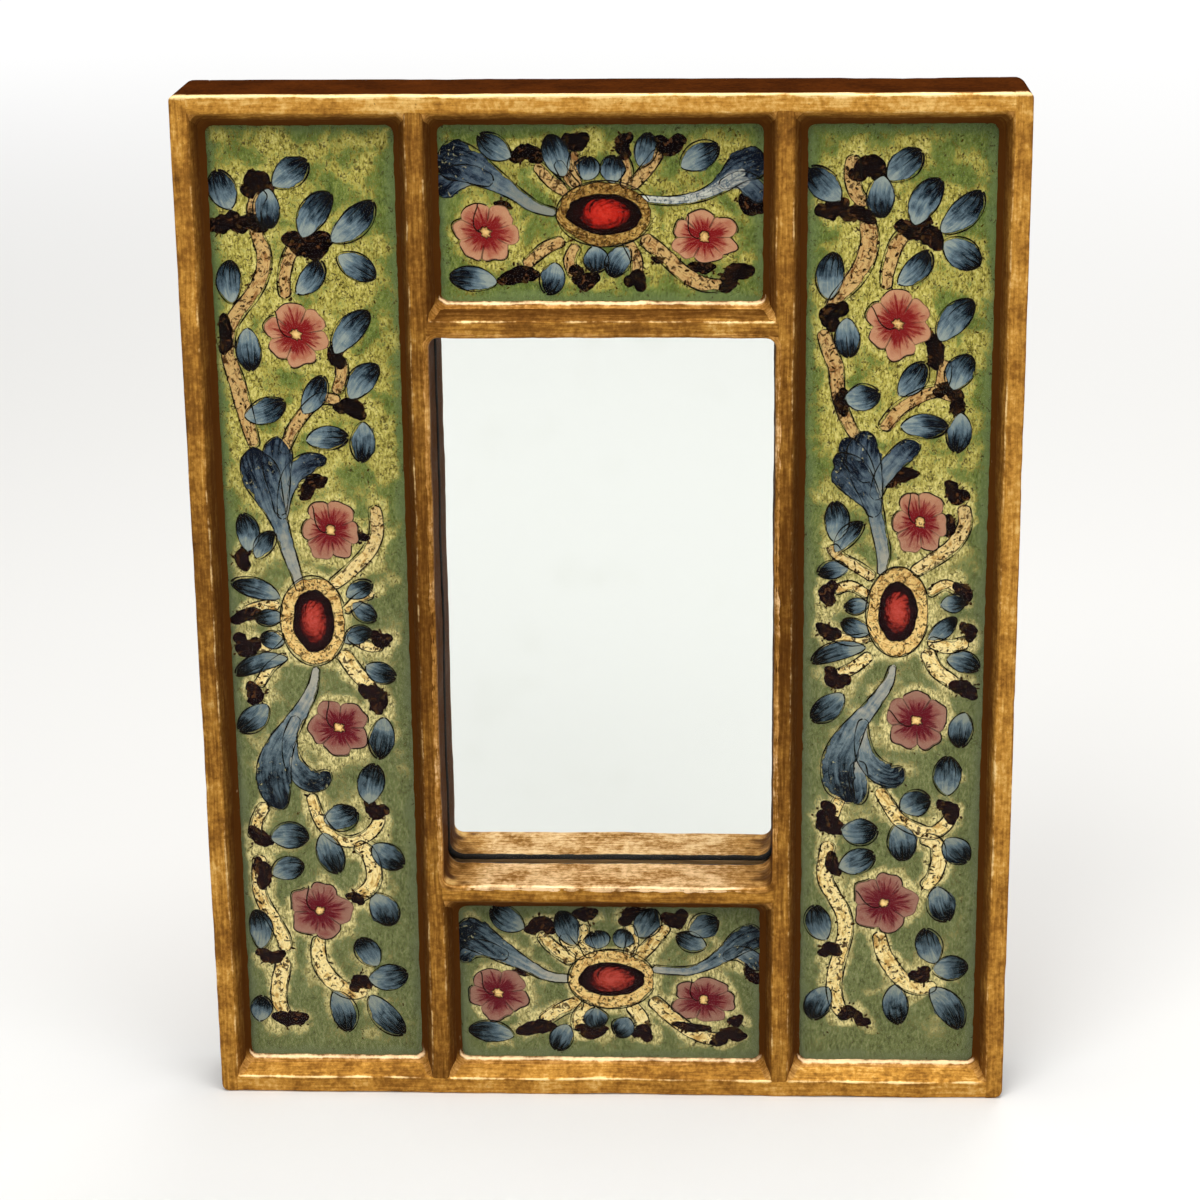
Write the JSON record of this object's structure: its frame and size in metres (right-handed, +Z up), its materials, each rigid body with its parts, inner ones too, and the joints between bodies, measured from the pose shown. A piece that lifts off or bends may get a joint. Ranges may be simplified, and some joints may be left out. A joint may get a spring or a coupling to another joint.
{
  "type": "wall mirror",
  "caption": "Small wall mirror in a gilded wooden frame with painted glass side panels, a deep mirror well and a swinging hanger ring on its back.",
  "frame": {"origin": "middle of the bottom edge, on the face that the frame stands on, halfway through its depth", "axes": "+Z up, +X to the right as seen from the front, +Y from the front to the back (the wall side)"},
  "size_m": [0.24, 0.0296, 0.309],
  "materials": {
    "gilded_wood": "gilded over gesso, worn and toned brown",
    "gilded_gesso": "gesso and putty, gilded and toned brown",
    "core_wood": "planed, unfinished",
    "dowel_wood": "turned, unfinished",
    "steel_wire": "drawn wire, dull",
    "mirror_glass": "silvered on the back",
    "backing_paper": "kraft paper",
    "cover_board": "hardboard, smooth side out",
    "hanger_brass": "pressed sheet, dull",
    "ring_steel": "bent wire, plated",
    "screw_brass": "turned, slotted head",
    "pane_glass": "clear sheet glass, painted on its back",
    "painted_foil": "crinkled foil, glazed green and gold"
  },
  "bodies": {
    "frame": {"left_stile": "gilded_wood", "right_stile": "gilded_wood", "top_rail": "gilded_wood", "bottom_rail": "gilded_wood", "left_divider": "gilded_wood", "right_divider": "gilded_wood", "upper_crossbar": "gilded_wood", "lower_crossbar": "gilded_wood", "well_lining": "gilded_gesso", "top_board": "core_wood", "bottom_board": "core_wood", "left_board": "core_wood", "right_board": "core_wood", "board_dowels": "dowel_wood", "corner_nails": "steel_wire", "mirror_plate": "mirror_glass", "mirror_paper": "backing_paper", "back_cover": "cover_board", "cover_brads": "steel_wire", "hanger_strap": "hanger_brass", "hanger_screw": "screw_brass", "left_pane": "pane_glass", "left_foil": "painted_foil", "left_bead": "gilded_gesso", "right_pane": "pane_glass", "right_foil": "painted_foil", "right_bead": "gilded_gesso", "top_pane": "pane_glass", "top_foil": "painted_foil", "top_bead": "gilded_gesso", "bottom_pane": "pane_glass", "bottom_foil": "painted_foil", "bottom_bead": "gilded_gesso"},
    "ring": {"hanger_ring": "ring_steel"}
  },
  "joints": [
    {"name": "ring_swing", "type": "hinge", "parent": "frame", "child": "ring", "pos_m": [0, 0.01435, 0.286], "axis": [1, 0, 0], "range_deg": [0, 172]}
  ]
}
